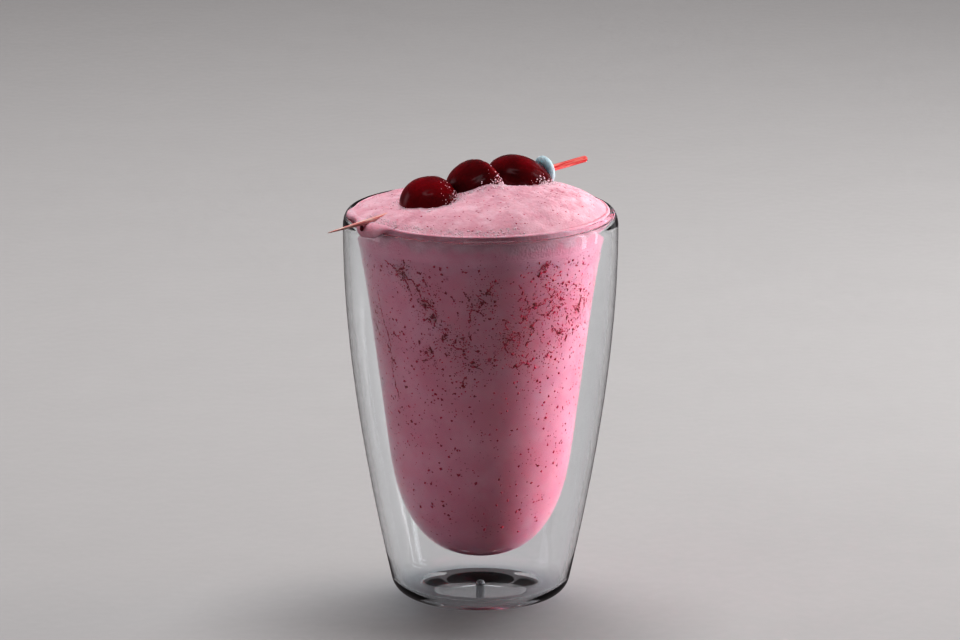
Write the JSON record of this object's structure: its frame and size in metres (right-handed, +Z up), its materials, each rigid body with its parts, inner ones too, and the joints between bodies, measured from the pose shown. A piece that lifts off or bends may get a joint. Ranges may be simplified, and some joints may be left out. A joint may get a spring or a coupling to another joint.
{
  "type": "cherry milkshake",
  "caption": "Thick pink cherry milkshake in a double-walled glass, with a frothy head that runs over the rim and dark cherries on a dyed bamboo pick.",
  "frame": {"origin": "middle of the base's underside, where it meets the table", "axes": "+Z up through the glass to the rim; -Y is the front that the picture shows; the pick's point lies towards -X"},
  "size_m": [0.0921, 0.088, 0.1428],
  "materials": {
    "glass": "clear borosilicate, fire-polished",
    "plug": "clear soft silicone",
    "milkshake": "thick pink drink with dark red flecks of cherry skin",
    "foam": "pale pink froth of fine bubbles",
    "cherry": "near-black wine red, glossy",
    "bamboo": "bamboo dyed red, paler at the point",
    "bead": "frosted pale grey-blue"
  },
  "bodies": {
    "root": {"glass": "glass", "vent_plug": "plug", "milkshake": "milkshake", "foam": "foam", "cherry_1": "cherry", "cherry_2": "cherry", "cherry_3": "cherry", "pick": "bamboo", "bead": "bead"}
  },
  "joints": []
}
